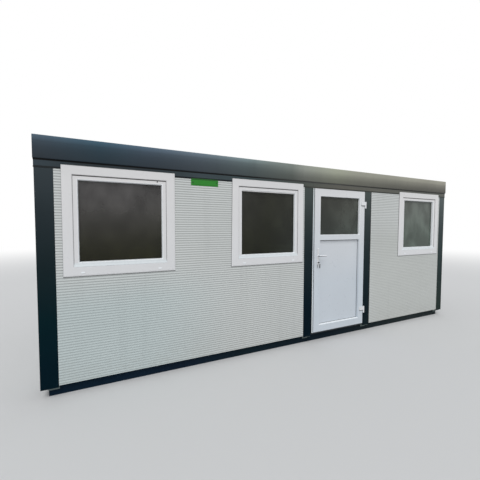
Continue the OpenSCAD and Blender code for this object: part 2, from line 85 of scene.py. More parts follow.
# Materials
class Nodes:
    """Short names for building one node material."""

    def __init__(self, name, base, rough, spec=0.5, metal=0.0):
        self.mat = bpy.data.materials.new(name)
        self.mat.use_nodes = True
        self.tree = self.mat.node_tree
        self.bsdf = self.tree.nodes["Principled BSDF"]
        self.set(self.bsdf, {"Base Color": (*base, 1), "Roughness": rough,
                             "Specular IOR Level": spec, "Metallic": metal})
        self.coord = self.tree.nodes.new("ShaderNodeTexCoord").outputs["Object"]

    def set(self, node, values):
        for key, value in values.items():
            node.inputs[key].default_value = value

    def link(self, a, b):
        self.tree.links.new(a, b)

    def put(self, socket, value):
        """Feeds a socket with another socket, a colour or a number."""
        if isinstance(value, bpy.types.NodeSocket):
            self.link(value, socket)
        elif isinstance(value, tuple):
            socket.default_value = (*value, 1)
        else:
            socket.default_value = value

    def scaled(self, scale):
        node = self.tree.nodes.new("ShaderNodeMapping")
        node.inputs["Scale"].default_value = scale
        self.link(self.coord, node.inputs["Vector"])
        return node.outputs["Vector"]

    def noise(self, scale, detail=3, stretch=(1, 1, 1), rough=0.5):
        node = self.tree.nodes.new("ShaderNodeTexNoise")
        self.set(node, {"Scale": scale, "Detail": detail, "Roughness": rough})
        self.link(self.scaled(stretch), node.inputs["Vector"])
        return node.outputs["Fac"]

    def voronoi(self, scale, stretch=(1, 1, 1)):
        node = self.tree.nodes.new("ShaderNodeTexVoronoi")
        self.set(node, {"Scale": scale})
        self.link(self.scaled(stretch), node.inputs["Vector"])
        return node.outputs["Color"]

    def axis(self, letter):
        node = self.tree.nodes.new("ShaderNodeSeparateXYZ")
        self.link(self.coord, node.inputs[0])
        return node.outputs[letter]

    def math(self, op, *values):
        node = self.tree.nodes.new("ShaderNodeMath")
        node.operation = op
        for socket, value in zip(node.inputs, values):
            self.put(socket, value)
        return node.outputs[0]

    def ramp(self, value, lo, hi, out_lo=0.0, out_hi=1.0):
        node = self.tree.nodes.new("ShaderNodeMapRange")
        node.interpolation_type = "SMOOTHSTEP"
        self.set(node, {"From Min": lo, "From Max": hi, "To Min": out_lo, "To Max": out_hi})
        self.link(value, node.inputs["Value"])
        return node.outputs["Result"]

    def fade(self, value, lo, hi, stops):
        """A colour from a value: stops are (place from 0 to 1, colour)."""
        scaled = self.tree.nodes.new("ShaderNodeMapRange")
        self.set(scaled, {"From Min": lo, "From Max": hi})
        self.link(value, scaled.inputs["Value"])
        node = self.tree.nodes.new("ShaderNodeValToRGB")
        marks = node.color_ramp.elements
        while len(marks) < len(stops):
            marks.new(0.5)
        for mark, (place, tone) in zip(marks, stops):
            mark.position = place
            mark.color = (*tone, 1)
        self.link(scaled.outputs["Result"], node.inputs["Fac"])
        return node.outputs["Color"]

    def along(self, stops):
        """A colour from the place along the cabin: stops are (X in metres, colour)."""
        return self.fade(self.axis("X"), -HALF_LENGTH, HALF_LENGTH,
                         [(0.5 + x / (2 * HALF_LENGTH), tone) for x, tone in stops])

    def upward(self, span_z, stops):
        """A colour from the height: stops are (share of the stretch, colour)."""
        return self.fade(self.axis("Z"), *span_z, stops)

    def mix(self, fac, a, b, kind="MIX"):
        """Colours a and b, mixed by the factor."""
        node = self.tree.nodes.new("ShaderNodeMix")
        node.data_type = "RGBA"
        node.blend_type = kind
        for slot, value in ((0, fac), (6, a), (7, b)):
            self.put(node.inputs[slot], value)
        return node.outputs[2]

    def tint(self, a, b):
        """Colour a times colour b."""
        return self.mix(1.0, a, b, "MULTIPLY")

    def patches(self, scale, detail, dark, pale):
        """Greys in soft patches, to multiply a tone with."""
        return self.mix(self.ramp(self.noise(scale, detail), 0.3, 0.7), grey(dark), grey(pale))

    def color(self, socket):
        self.link(socket, self.bsdf.inputs["Base Color"])

    def rough(self, value, smooth, dull):
        self.link(self.ramp(value, 0.3, 0.7, smooth, dull), self.bsdf.inputs["Roughness"])

    def bump(self, *heights):
        """Chained bumps, each (height socket, distance in metres, strength)."""
        last = None
        for height, distance, strength in heights:
            node = self.tree.nodes.new("ShaderNodeBump")
            self.set(node, {"Distance": distance, "Strength": strength})
            self.link(height, node.inputs["Height"])
            if last:
                self.link(last, node.inputs["Normal"])
            last = node.outputs["Normal"]
        self.link(last, self.bsdf.inputs["Normal"])


def shade(color, factor):
    return tuple(c * factor for c in color)


def grey(value):
    return (value, value, value)


def cloudy(n, tone, patch, scale=1.7):
    """The tone with faint patches and upright streaks, both multiplied in."""
    cloud = n.patches(scale, 4, 1 - patch, 1 + patch)
    streak = n.mix(n.ramp(n.noise(9, 3, (1, 1, 0.06)), 0.5, 0.8), grey(1), grey(1 - patch))
    return n.tint(n.tint(tone, cloud), streak)


def sheet_finish(n, rough):
    """Orange peel and the soft waves of folded sheet."""
    n.rough(n.noise(14, 5), rough - 0.06, rough + 0.08)
    n.bump((n.noise(1.3, 2), 0.004, 0.25), (n.noise(700, 2), 0.0002, 0.12))
    return n.mat


def painted(name, color, rough, spec, patch=0.06):
    """Coated sheet or painted steel in one colour."""
    n = Nodes(name, color, rough, spec)
    n.color(cloudy(n, color, patch))
    return sheet_finish(n, rough)


def posts(name):
    """Navy-black folded posts with painted daylight: slate under the eaves, near black low down,
    paler to the right.
    """
    n = Nodes(name, POST_LEFT[0][1], 0.45, 0.04)
    left, middle, right = (n.upward(UNDER_EAVES_Z, stops)
                           for stops in (POST_LEFT, POST_DOOR, POST_RIGHT))
    tone = n.mix(n.ramp(n.axis("X"), -2.9, -0.1), left, middle)
    tone = n.mix(n.ramp(n.axis("X"), 0.3, 2.95), tone, right)
    n.color(cloudy(n, tone, 0.07))
    return sheet_finish(n, 0.45)


def eaves(name, tones, plain, rough, spec, heights=()):
    """Slate eaves sheet with painted daylight and sky reflection in front: greyer to the right and
    paler upward; plain to the back.
    """
    n = Nodes(name, tones[0][1], rough, spec)
    tone = n.along(tones)
    if heights:
        left, middle, right = (n.upward(FASCIA_Z_SPAN, [(at, grey(gain)) for at, gain in stops])
                               for stops in heights)
        gain = n.mix(n.ramp(n.axis("X"), -1.1, -0.1), left, middle)
        tone = n.tint(tone, n.mix(n.ramp(n.axis("X"), 0.9, 2.1), gain, right))
    tone = n.mix(n.ramp(n.axis("Y"), -1.15, -0.35), tone, plain)
    n.color(cloudy(n, tone, 0.06))
    return sheet_finish(n, rough)


def ribbed_panel(name, color):
    """Ribbed wall coating: the narrow grooves between the ribs are darker, partly dust and partly
    painted shade.
    """
    n = Nodes(name, color, 0.42, 0.30)
    phase = n.math("FRACT", n.math("DIVIDE", n.math("SUBTRACT", n.axis("Z"), WALL_Z), RIB_PITCH))
    groove = n.ramp(n.math("ABSOLUTE", n.math("SUBTRACT", phase, 0.5)), 0.17, 0.25, 1, 0)
    # Low down in front the coating carries painted daylight: cooler at the left, greyer at the
    # right, and there the painted groove shade fades
    front = n.ramp(n.axis("Y"), -0.6, -1.15)
    left = n.math("MULTIPLY", n.ramp(n.axis("X"), -0.9, -2.2), n.ramp(n.axis("Z"), 1.25, 0.75))
    right = n.math("MULTIPLY", n.ramp(n.axis("X"), 1.0, 1.4), n.ramp(n.axis("Z"), 1.8, 1.35))
    left, right = n.math("MULTIPLY", left, front), n.math("MULTIPLY", right, front)
    far = n.math("MULTIPLY", right, n.ramp(n.axis("Z"), 1.6, 0.9, 0.30, 0.60))
    groove_shade_fade = n.math("ADD", n.math("MULTIPLY", left, 0.28), far)
    groove = n.math("MULTIPLY", groove, n.math("SUBTRACT", 1.0, groove_shade_fade))
    tone = n.mix(groove, color, shade(color, 0.64))
    tone = n.tint(tone, n.mix(left, grey(1), (0.865, 0.940, 0.955)))
    tone = n.tint(tone, n.mix(right, grey(1), (0.865, 0.865, 0.850)))
    cloud = n.patches(0.9, 4, 0.975, 1.02)
    streak = n.mix(n.ramp(n.noise(12, 4, (1, 1, 0.04)), 0.52, 0.8), grey(1), grey(0.955))
    tone = n.tint(n.tint(tone, cloud), streak)
    low = n.ramp(n.axis("Z"), WALL_Z + 0.30, WALL_Z, 0, 0.16)
    spots = n.ramp(n.noise(30, 6), 0.35, 0.75)
    tone = n.mix(n.math("MULTIPLY", low, spots), tone, SOIL)
    n.color(tone)
    n.rough(n.noise(18, 5), 0.36, 0.52)
    n.bump((n.noise(1.1, 2), 0.004, 0.2), (n.noise(600, 2), 0.0002, 0.10))
    return n.mat


def plastic_skin(n, tone, rough, grime, spots=45, detail=6):
    """Faint grime over the tone, and the fine skin of moulded plastic."""
    n.color(n.mix(n.ramp(n.noise(spots, detail), 0.55, 0.8, 0, grime), tone, GRIME))
    n.rough(n.noise(22, 4), rough - 0.05, rough + 0.08)
    n.bump((n.noise(520, 2), 0.0002, 0.10))
    return n.mat


def plastic(name, top, low, rough=0.32, grime=0.06):
    """White plastic, nearly even, with painted light: cooler low down, a shade darker at the very
    top under the eaves.
    """
    stops = [(0.0, low), (0.35, low), (0.96, top), (1.0, shade(top, 0.965))]
    return tall_plastic(name, top, stops, rough, grime)


def tall_plastic(name, base, stops, rough, grime):
    """Plastic whose tone up the height is painted light, with faint patches."""
    n = Nodes(name, base, rough, 0.4)
    tone = n.tint(n.upward(PLASTIC_Z, stops), n.patches(2.3, 4, 0.985, 1.01))
    return plastic_skin(n, tone, rough, grime)


def lever_painted_shade(name, top, hub, tip):
    """White lever whose underside is painted grey as shade, darkest at the hub."""
    n = Nodes(name, top, 0.25, 0.4)
    lo, hi = span("door_lever")
    under = n.mix(n.ramp(n.axis("X"), lo.x + 0.010, hi.x - 0.010), hub, tip)
    above = n.ramp(n.axis("Z"), lo.z + LEVER_H * 0.34, lo.z + LEVER_H * 0.52)
    return plastic_skin(n, n.mix(above, under, top), 0.25, 0.05, 60, 4)


def green_plate(name, color):
    """Green plate, painted darker where it laps the drip edge, as shade under the band."""
    n = Nodes(name, color, 0.4, 0.4)
    tone = n.upward((BAND_Z - 0.06, BAND_Z + 0.01),
                    [(0.0, color), (0.68, color), (0.84, shade(color, 0.45)),
                     (1.0, shade(color, 0.30))])
    return plastic_skin(n, cloudy(n, tone, 0.04, 12), 0.40, 0)


def metal(name, color, rough, grain=(1, 1, 1), spangle=0.0, metallic=0.85):
    """Cloudy metal, with zinc flowers where spangle is set."""
    n = Nodes(name, color, rough, 0.5, metallic)
    cloud = n.ramp(n.noise(8, 5, grain), 0.3, 0.7)
    tone = n.mix(cloud, shade(color, 0.8), shade(color, 1.12))
    if spangle:
        cells = n.ramp(n.voronoi(75), 0.2, 0.8, 0, spangle)
        tone = n.mix(cells, tone, shade(color, 1.5))
    n.color(tone)
    n.rough(n.noise(30, 5, grain), rough - 0.08, rough + 0.12)
    n.bump((n.noise(260, 3, grain), 0.0003, 0.15))
    return n.mat


def glazing(name):
    """Clear double glazing before a dark room; its colour, paler up high and changing along the
    front, is painted reflection, broken into soft patches.
    """
    n = Nodes(name, (0.03, 0.03, 0.03), 0.03, 0.22)
    low, high = (n.fade(n.axis("X"), *PANES_X, stops) for stops in (GLASS_REFLECTION_LOW, GLASS_REFLECTION_HIGH))
    tone = n.mix(n.ramp(n.axis("Z"), *PANES_Z), low, high)
    reflection_patches = n.mix(n.ramp(n.noise(2.6, 5, (1.6, 1, 1)), 0.35, 0.75), grey(0.70), grey(1.30))
    n.color(n.tint(tone, reflection_patches))
    n.set(n.bsdf, {"IOR": 1.5, "Alpha": 0.86})
    n.link(n.ramp(n.noise(40, 6), 0.45, 0.85, 0.02, 0.12), n.bsdf.inputs["Roughness"])
    n.bump((n.noise(1.8, 1), 0.004, 0.08))
    return n.mat


def board(name, color):
    """Wood-based board with a long grain."""
    n = Nodes(name, color, 0.55, 0.3)
    grain = n.ramp(n.noise(6, 8, (0.25, 6, 6), 0.6), 0.3, 0.7)
    n.color(n.mix(grain, shade(color, 0.7), shade(color, 1.25)))
    n.rough(n.noise(25, 4), 0.45, 0.65)
    n.bump((n.noise(320, 4, (0.2, 3, 3)), 0.0004, 0.3))
    return n.mat


def rubber(name, color):
    """Dull rubber or sealant."""
    n = Nodes(name, color, 0.6, 0.3)
    n.color(n.mix(n.ramp(n.noise(35, 4), 0.3, 0.7), shade(color, 0.7), shade(color, 1.4)))
    n.bump((n.noise(900, 2), 0.0002, 0.2))
    return n.mat


# Tones of the front, painted daylight and sky reflection: bluish black at the left end, greyer and
# paler to the right
POST_LEFT = [(0.10, (0.0004, 0.0090, 0.0155)), (0.31, (0.0012, 0.0130, 0.0178)),
             (0.55, (0.0088, 0.0180, 0.0215)), (0.80, (0.0220, 0.0310, 0.0360)),
             (1.0, (0.0420, 0.0540, 0.0610))]
POST_DOOR = [(0.05, (0.0008, 0.0072, 0.0135)), (0.22, (0.0014, 0.0083, 0.0148)),
             (0.55, (0.0126, 0.0222, 0.0262)), (0.80, (0.0344, 0.0462, 0.0462)),
             (1.0, (0.0630, 0.0780, 0.0745))]
POST_RIGHT = [(0.10, (0.0165, 0.0290, 0.0258)), (0.35, (0.0190, 0.0330, 0.0330)),
              (0.55, (0.0270, 0.0420, 0.0433)), (0.80, (0.0525, 0.0680, 0.0700)),
              (1.0, (0.0950, 0.1144, 0.1150))]
# Fascia: painted sky reflection along the front, and its gains up the height at the left, middle
# and right
FASCIA_TONES = [(-2.98, (0.0260, 0.0400, 0.0545)), (-2.50, (0.0165, 0.0380, 0.0550)),
                (-2.05, (0.0320, 0.0485, 0.0670)), (-1.52, (0.0520, 0.0690, 0.0850)),
                (-0.90, (0.0710, 0.0930, 0.0960)), (-0.30, (0.1200, 0.1380, 0.1250)),
                (-0.10, (0.1950, 0.2070, 0.1840)), (0.45, (0.2310, 0.2420, 0.1900)),
                (0.90, (0.2050, 0.2060, 0.1710)), (2.45, (0.1690, 0.1650, 0.1360))]
FASCIA_LEFT = [(0.0, 0.62), (0.30, 0.82), (0.50, 1.0), (0.74, 1.48), (0.82, 2.10), (1.0, 3.10)]
FASCIA_RIGHT = [(0.0, 0.54), (0.25, 0.68), (0.50, 1.0), (0.75, 1.45), (1.0, 1.60)]
FASCIA_FAR = [(0.0, 0.39), (0.25, 0.60), (0.50, 1.0), (0.62, 1.20), (0.75, 1.66), (1.0, 2.0)]
# Band: painted daylight along the front
BAND_TONES = [(-2.95, (0.0300, 0.0450, 0.0560)), (-2.70, (0.0190, 0.0270, 0.0320)),
              (-2.10, (0.0190, 0.0270, 0.0320)), (-1.50, (0.0370, 0.0540, 0.0620)),
              (-0.90, (0.0380, 0.0570, 0.0610)), (-0.17, (0.0630, 0.0750, 0.0660)),
              (0.50, (0.1060, 0.1040, 0.0880)), (3.00, (0.0960, 0.1020, 0.0880))]
# Dark strip under the fascia: painted shadow, its tone along X painted daylight
FASCIA_SHADOW_TONES = [(-3.00, grey(0.0120)), (-2.80, grey(0.0050)), (-1.50, grey(0.0140)),
              (-0.90, grey(0.0150)), (-0.17, grey(0.0700)), (0.50, grey(0.0950)),
              (1.40, grey(0.0400)), (3.00, grey(0.0600))]
# Drip edge: painted daylight along the front
DRIP_TONES = [(-3.00, (0.0200, 0.0230, 0.0250)), (-2.75, (0.0180, 0.0210, 0.0230)),
              (-2.50, (0.0105, 0.0130, 0.0150)), (-0.35, (0.0105, 0.0130, 0.0150)),
              (-0.12, (0.0380, 0.0440, 0.0400)), (0.10, (0.0700, 0.0690, 0.0600)),
              (1.20, (0.0500, 0.0540, 0.0480)), (3.00, (0.0450, 0.0500, 0.0450))]
# Base rail: painted daylight along the front
BASE_TONES = [(-2.65, (0.0053, 0.0160, 0.0310)), (-1.70, (0.0073, 0.0160, 0.0310)),
              (-0.92, (0.0080, 0.0181, 0.0254)), (0.33, (0.0070, 0.0153, 0.0237)),
              (1.82, (0.0180, 0.0264, 0.0284))]
# Door frame up its height: painted light, palest and bluest low down
FRAME_TONES = [(0.0, (0.880, 0.940, 0.980)), (0.40, (0.900, 0.960, 1.000)),
               (0.50, (0.820, 0.890, 0.950)), (0.60, (0.680, 0.730, 0.780)),
               (0.70, (0.720, 0.790, 0.830)), (0.85, (0.780, 0.860, 0.870)),
               (1.0, (0.700, 0.760, 0.760))]
# Painted reflections in the panes along X, low and high
GLASS_REFLECTION_LOW = [(0.09, (0.018, 0.018, 0.007)), (0.39, (0.010, 0.012, 0.005)),
             (0.60, (0.050, 0.062, 0.054)), (0.92, (0.105, 0.138, 0.116))]
GLASS_REFLECTION_HIGH = [(0.09, (0.094, 0.090, 0.090)), (0.39, (0.022, 0.023, 0.015)),
              (0.60, (0.062, 0.066, 0.055)), (0.92, (0.130, 0.148, 0.132))]
PLATE_WHITE, FITTING_WHITE = (0.66, 0.67, 0.69), (0.74, 0.75, 0.77)
# Bluish white of the rain bars: painted sky highlight on their sloped faces
RAIN_HIGHLIGHT_WHITE = (0.69, 0.735, 0.76)
GRIME, SOIL = (0.42, 0.41, 0.37), (0.33, 0.32, 0.28)

M = {
    "wall": ribbed_panel("wall_panel_ribbed", (0.615, 0.638, 0.630)),
    "lining": painted("wall_lining", (0.62, 0.63, 0.62), 0.5, 0.3, 0.02),
    "cover": posts("post_cover_navy"),
    "band": eaves("band_anthracite", BAND_TONES, (0.032, 0.044, 0.052), 0.42, 0.20),
    "fascia": eaves("fascia_slate", FASCIA_TONES, (0.066, 0.084, 0.098), 0.36, 0.22,
                    (FASCIA_LEFT, FASCIA_RIGHT, FASCIA_FAR)),
    "base": eaves("base_rail_navy", BASE_TONES, (0.010, 0.016, 0.025), 0.48, 0.04),
    "window": plastic("window_plastic", (0.71, 0.705, 0.71), (0.70, 0.71, 0.73)),
    "door": plastic("door_plastic", (0.692, 0.700, 0.715), (0.582, 0.638, 0.694)),
    "infill": plastic("infill_plastic", (0.680, 0.682, 0.695), (0.580, 0.628, 0.682)),
    "plate": plastic("plate_plastic", PLATE_WHITE, PLATE_WHITE, 0.28, 0.03),
    "fitting": plastic("fitting_plastic", FITTING_WHITE, FITTING_WHITE, 0.25, 0.03),
    "frame": tall_plastic("frame_plastic", FRAME_TONES[0][1], FRAME_TONES, 0.28, 0.03),
    "lever": lever_painted_shade("lever_painted_shade", (0.84, 0.86, 0.90), (0.04, 0.04, 0.045),
                           (0.30, 0.30, 0.31)),
    # Whiter plastic as painted highlight: beads, drain caps, the collar, the lock's rim and the
    # plate's top edge
    "painted_highlight": plastic("painted_highlight_plastic", (0.90, 0.92, 0.94), (0.88, 0.92, 0.95), 0.25, 0.02),
    "rain": plastic("rain_bar_plastic", RAIN_HIGHLIGHT_WHITE, RAIN_HIGHLIGHT_WHITE, 0.28, 0.02),
    "glass": glazing("double_glazing"),
    "zinc": metal("bracket_zinc", (0.12, 0.155, 0.152), 0.50, spangle=0.35, metallic=0.35),
    "roof": metal("roof_sheet_zinc", (0.40, 0.42, 0.43), 0.40, (1, 0.1, 1), 0.25),
    "sill": metal("threshold_dark", (0.012, 0.017, 0.022), 0.42, (0.05, 1, 1), metallic=0.3),
    "steel": metal("key_steel", (0.018, 0.017, 0.016), 0.50, metallic=0.3),
    "spare": metal("spare_key_nickel", (0.46, 0.47, 0.48), 0.36, metallic=0.7),
    "floor": board("floor_board", (0.22, 0.15, 0.09)),
    "gasket": rubber("gasket_rubber", (0.022, 0.023, 0.024)),
    "seam": rubber("seam_rubber", (0.038, 0.034, 0.034)),
    "joint": eaves("eaves_joint_and_shadow", FASCIA_SHADOW_TONES, grey(0.012), 0.55, 0.05),
    "green": green_plate("marker_green", (0.011, 0.196, 0.009)),
    "drip": eaves("drip_edge_dark", DRIP_TONES, (0.012, 0.014, 0.016), 0.5, 0.08),
    "screw": metal("screw_heads", (0.015, 0.030, 0.015), 0.5, metallic=0.3),
    "lock": metal("lock_steel", (0.034, 0.032, 0.031), 0.45, metallic=0.3),
}

NODE_LOOK = {
    "base": ["base_rail_front", "base_rail_back", "base_rails_end", "floor_joists"],
    "floor": ["floor_deck"],
    "zinc": ["foot_brackets", "frame_posts"],
    "cover": ["corner_cover_front_left", "corner_cover_front_right", "corner_cover_back_right",
              "corner_cover_back_left", "door_post_covers"],
    "lining": ["front_wall_left", "front_wall_right", "door_lintel", "back_wall", "left_wall",
               "right_wall", "ceiling_panel"],
    "band": ["top_rail_front", "top_rail_back", "top_rails_end"],
    "fascia": ["fascia_front", "fascia_back", "fascia_ends"],
    "roof": ["roof_sheet"],
    "window": ["window_frame_1", "window_frame_2", "window_frame_3", "window_sash_1",
               "window_sash_2", "window_sash_3"],
    "glass": ["window_glass", "door_glass"],
    "door": ["door_leaf"],
    "infill": ["door_infill"],
    "frame": ["door_frame"],
    "fitting": ["door_hinge_flaps", "door_hinge_brackets"],
    "lever": ["door_lever"],
    # Drain caps in painted-highlight white
    "painted_highlight": ["window_drain_caps"],
    "plate": ["door_plates"],
    "sill": ["door_threshold"],
    "green": ["marker_plate"],
}
for look, names in NODE_LOOK.items():
    for name in names:
        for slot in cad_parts[name].material_slots:
            slot.material = M[look]


# Mesh helpers
def piece(name, verts, faces, look, body="cabin"):
    """One piece of the visual model, with its look and body."""
    mesh = bpy.data.meshes.new(name)
    mesh.from_pydata([tuple(v) for v in verts], [], faces)
    mesh.validate()
    bm = bmesh.new()
    bm.from_mesh(mesh)
    bmesh.ops.recalc_face_normals(bm, faces=bm.faces)
    bm.to_mesh(mesh)
    bm.free()
    mesh.materials.append(M[look])
    obj = bpy.data.objects.new(name, mesh)
    scene.collection.objects.link(obj)
    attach(obj, body)


def around(count):
    """The angles of a whole turn in equal steps."""
    return [2 * math.pi * k / count for k in range(count)]


class Build:
    """Collects the vertices and faces of one piece."""

    def __init__(self):
        self.verts, self.faces = [], []

    def ring(self, loops, close_ends=False):
        """Quads between successive closed loops of equal length."""
        count, base = len(loops[0]), len(self.verts)
        faces = []
        for a in range(len(loops) - 1):
            for k in range(count):
                m = (k + 1) % count
                faces.append((a * count + k, a * count + m, (a + 1) * count + m,
                              (a + 1) * count + k))
        if close_ends:
            faces.append(tuple(range(count))[::-1])
            faces.append(tuple((len(loops) - 1) * count + k for k in range(count)))
        self.verts += [v for loop in loops for v in loop]
        self.faces += [tuple(base + i for i in face) for face in faces]

    def block(self, lo, hi, bevel=0.0008):
        """A block whose edges are all bevelled."""
        loops = []
        for y, inset in ((lo[1], bevel), (lo[1] + bevel, 0), (hi[1] - bevel, 0), (hi[1], bevel)):
            x0, x1, z0, z1 = lo[0] + inset, hi[0] - inset, lo[2] + inset, hi[2] - inset
            corners = ((x0 + bevel, z0), (x1 - bevel, z0), (x1, z0 + bevel), (x1, z1 - bevel),
                       (x1 - bevel, z1), (x0 + bevel, z1), (x0, z1 - bevel), (x0, z0 + bevel))
            loops.append([Vector((x, y, z)) for x, z in corners])
        self.ring(loops, close_ends=True)

    def turned(self, x, z, profile, count=24, hollow=False):
        """A round part about an axis along Y, its profile given as [radius, y]."""
        loops = [[Vector((x + r * math.cos(t), y, z + r * math.sin(t))) for t in around(count)]
                 for r, y in profile]
        self.ring(loops + loops[:1] if hollow else loops, close_ends=not hollow)

    def belt(self, section, box):
        """A closed band round a rectangle in plan (x0, x1, y0, y1); section is [out, z]."""
        x0, x1, y0, y1 = box
        loops = [[Vector((x0 - o, y0 - o, z)), Vector((x1 + o, y0 - o, z)),
                  Vector((x1 + o, y1 + o, z)), Vector((x0 - o, y1 + o, z))] for o, z in section]
        self.ring(loops + loops[:1])

    def done(self, name, look, slot="white_plastic", body="cabin"):
        piece(name, self.verts, self.faces, look, body)


# Bevel of narrow seals, and the four sides
FINE = 0.0004
FRONT, RIGHT, BACK, LEFT = range(4)


def side_point(side, u, out, z):
    """A point of a side, u from the side's left end seen from outside."""
    return Vector([(LEFT_X + u, FACE_Y - out, z), (RIGHT_X + out, FACE_Y + u, z),
                   (RIGHT_X - u, BACK_Y + out, z), (LEFT_X - out, BACK_Y - u, z)][side])


def side_reach(side, node):
    """The two ends of a wall along its side."""
    lo, hi = span(node)
    return [(lo.x - LEFT_X, hi.x - LEFT_X), (lo.y - FACE_Y, hi.y - FACE_Y),
            (RIGHT_X - hi.x, RIGHT_X - lo.x), (BACK_Y - hi.y, BACK_Y - lo.y)][side]


# Ribbed skins of the walls
CREST, VALLEY, SKIN_BACK = 0.0021, 0.0006, -0.0004
RIB_SHAPE = [(0.0, CREST), (0.28, CREST), (0.36, VALLEY), (0.64, VALLEY), (0.72, CREST)]


def rib_out(z):
    """How far the ribs stand out at a height."""
    phase = ((z - WALL_Z) / RIB_PITCH) % 1.0
    points = RIB_SHAPE + [(1.0, CREST)]
    for (a, out_a), (b, out_b) in zip(points, points[1:]):
        if a <= phase <= b:
            return out_a + (out_b - out_a) * (phase - a) / (b - a)
    return CREST


def rib_line(z0, z1):
    """[z, out] of the rib profile between two heights, ends included."""
    line = [(z0, rib_out(z0))]
    first = int((z0 - WALL_Z) / RIB_PITCH) - 1
    for k in range(first, first + int((z1 - z0) / RIB_PITCH) + 4):
        for phase, out in RIB_SHAPE[1:]:
            z = WALL_Z + (k + phase) * RIB_PITCH
            if z0 + 1e-5 < z < z1 - 1e-5:
                line.append((z, out))
    line.append((z1, rib_out(z1)))
    return line


def ribbed_rect(build, side, u0, u1, z0, z1):
    """A ribbed sheet over one rectangle of a side."""
    build.ring([[side_point(side, u0, SKIN_BACK, z), side_point(side, u0, out, z),
                 side_point(side, u1, out, z), side_point(side, u1, SKIN_BACK, z)]
                for z, out in rib_line(z0, z1)], close_ends=True)


def ribbed_wall(name, side, u0, u1, z0, z1, holes):
    """The ribbed skin of one wall, cut out round the holes (u0, u1, z0, z1)."""
    build = Build()
    edges = sorted({u0, u1, *(h[0] for h in holes), *(h[1] for h in holes)})
    for a, b in zip(edges, edges[1:]):
        cuts = [(h[2], h[3]) for h in holes if h[0] <= a + 1e-6 and h[1] >= b - 1e-6]
        low = z0
        for c, d in sorted(cuts) + [(z1, z1)]:
            if c - low > 0.002:
                ribbed_rect(build, side, a, b, low, c)
            low = d
    build.done(name, "wall", "wall_panel")


WINDOWS = []
for k in (1, 2, 3):
    lo, hi = span(f"window_frame_{k}")
    WINDOWS.append((lo.x - LEFT_X, hi.x - LEFT_X, lo.z, hi.z))

SKIN_GAP = 0.0006
for label, side, node, holes in (("front_left", FRONT, "front_wall_left", WINDOWS[:2]),
                                 ("front_right", FRONT, "front_wall_right", WINDOWS[2:]),
                                 ("back", BACK, "back_wall", []), ("left", LEFT, "left_wall", []),
                                 ("right", RIGHT, "right_wall", [])):
    u0, u1 = side_reach(side, node)
    ribbed_wall(f"ribbed_skin_{label}", side, u0 + SKIN_GAP, u1 - SKIN_GAP, WALL_Z + SKIN_GAP,
                BAND_Z - SKIN_GAP, holes)


# Seals of the windows
def rect_loop(x0, x1, z0, z1, y):
    """The four corners of an upright rectangle."""
    return [Vector((x0, y, z0)), Vector((x1, y, z0)), Vector((x1, y, z1)), Vector((x0, y, z1))]


def inner(lo, hi, margin):
    """The rectangle x0, x1, z0, z1 that lies the margin inside a box."""
    return lo.x + margin, hi.x - margin, lo.z + margin, hi.z - margin


def rect_seal(build, rect, y, section, sides=(1, 1, 1, 1)):
    """A seal along a rectangle: section [inward, y], widths of sides left, right, low, high."""
    x0, x1, z0, z1 = rect
    a, b, c, d = sides
    loops = [rect_loop(x0 + u * a, x1 - u * b, z0 + u * c, z1 - u * d, y + v) for u, v in section]
    build.ring(loops + loops[:1])


def lip(width, proud):
    """A rubber lip that stands out against an edge and slopes off inward."""
    return [(0, 0.001), (0, -proud), (width * 0.4, -proud), (width, -proud * 0.35), (width, 0.001)]


def rail(build, x0, x1, outline):
    """A bar along X with the given outline of (y, z)."""
    build.ring([[Vector((x, y, z)) for y, z in outline] for x in (x0, x1)], close_ends=True)


def strip(build, x0, x1, front, z0, z1):
    """A flat strip along X that ends in the wall."""
    rail(build, x0, x1, [(front, z0), (front, z1), (IN_WALL_Y, z1), (IN_WALL_Y, z0)])


def taper(build, side, top, low, y0, y1, z0, z1):
    """An upright strip from the plane x = side out to x = top above and x = low below."""
    build.ring([[Vector((side, y, z0)), Vector((low, y, z0)), Vector((top, y, z1)),
                 Vector((side, y, z1))] for y in (y0, y1)], close_ends=True)


PANE_Y = span("window_glass")[0].y
SASH_Y = span("window_sash_1")[0].y
IN_WALL_Y = FACE_Y + 0.0005
# How far the pane's edge, the frame's inner lip and the bead lie inside the sash or the frame
SASH_IN, FRAME_LIP, BEAD_IN = 0.058, 0.082, 0.050
# Glazing gaskets: real, drawn wider at the top as painted shadow under the sash's head
PANE_LIP, PANE_SIDES = lip(0.0045, 0.003), (0.35, 0.30, 0.35, 1)
# Bead of the sash in painted-highlight white: [inward, y from the sash's face]
BEAD = [(-0.0015, -0.0005), (0.0006, -0.0005), (0.0038, 0.0027), (0.0084, 0.0305),
        (0.0070, 0.0320), (-0.0015, 0.0008)]
# Rain bar at the foot of the sash: [out from the sash's face, up from the frame's lip]
RAIN_BAR = [(-0.001, 0.0004), (0.0078, 0.0004), (0.0070, 0.0030), (0.0018, 0.0200),
            (0.0004, 0.0365), (-0.001, 0.0365)]
# Widths of the strips round the frames: left at the top and low down, right, below
STRIPS = [(0.0040, 0.0050, 0.0065, 0.0055), (0.0005, 0.0120, 0.0010, 0.0055),
          (0.0060, 0.0125, 0.0010, 0.0055)]
STRIP_BACK = 0.003
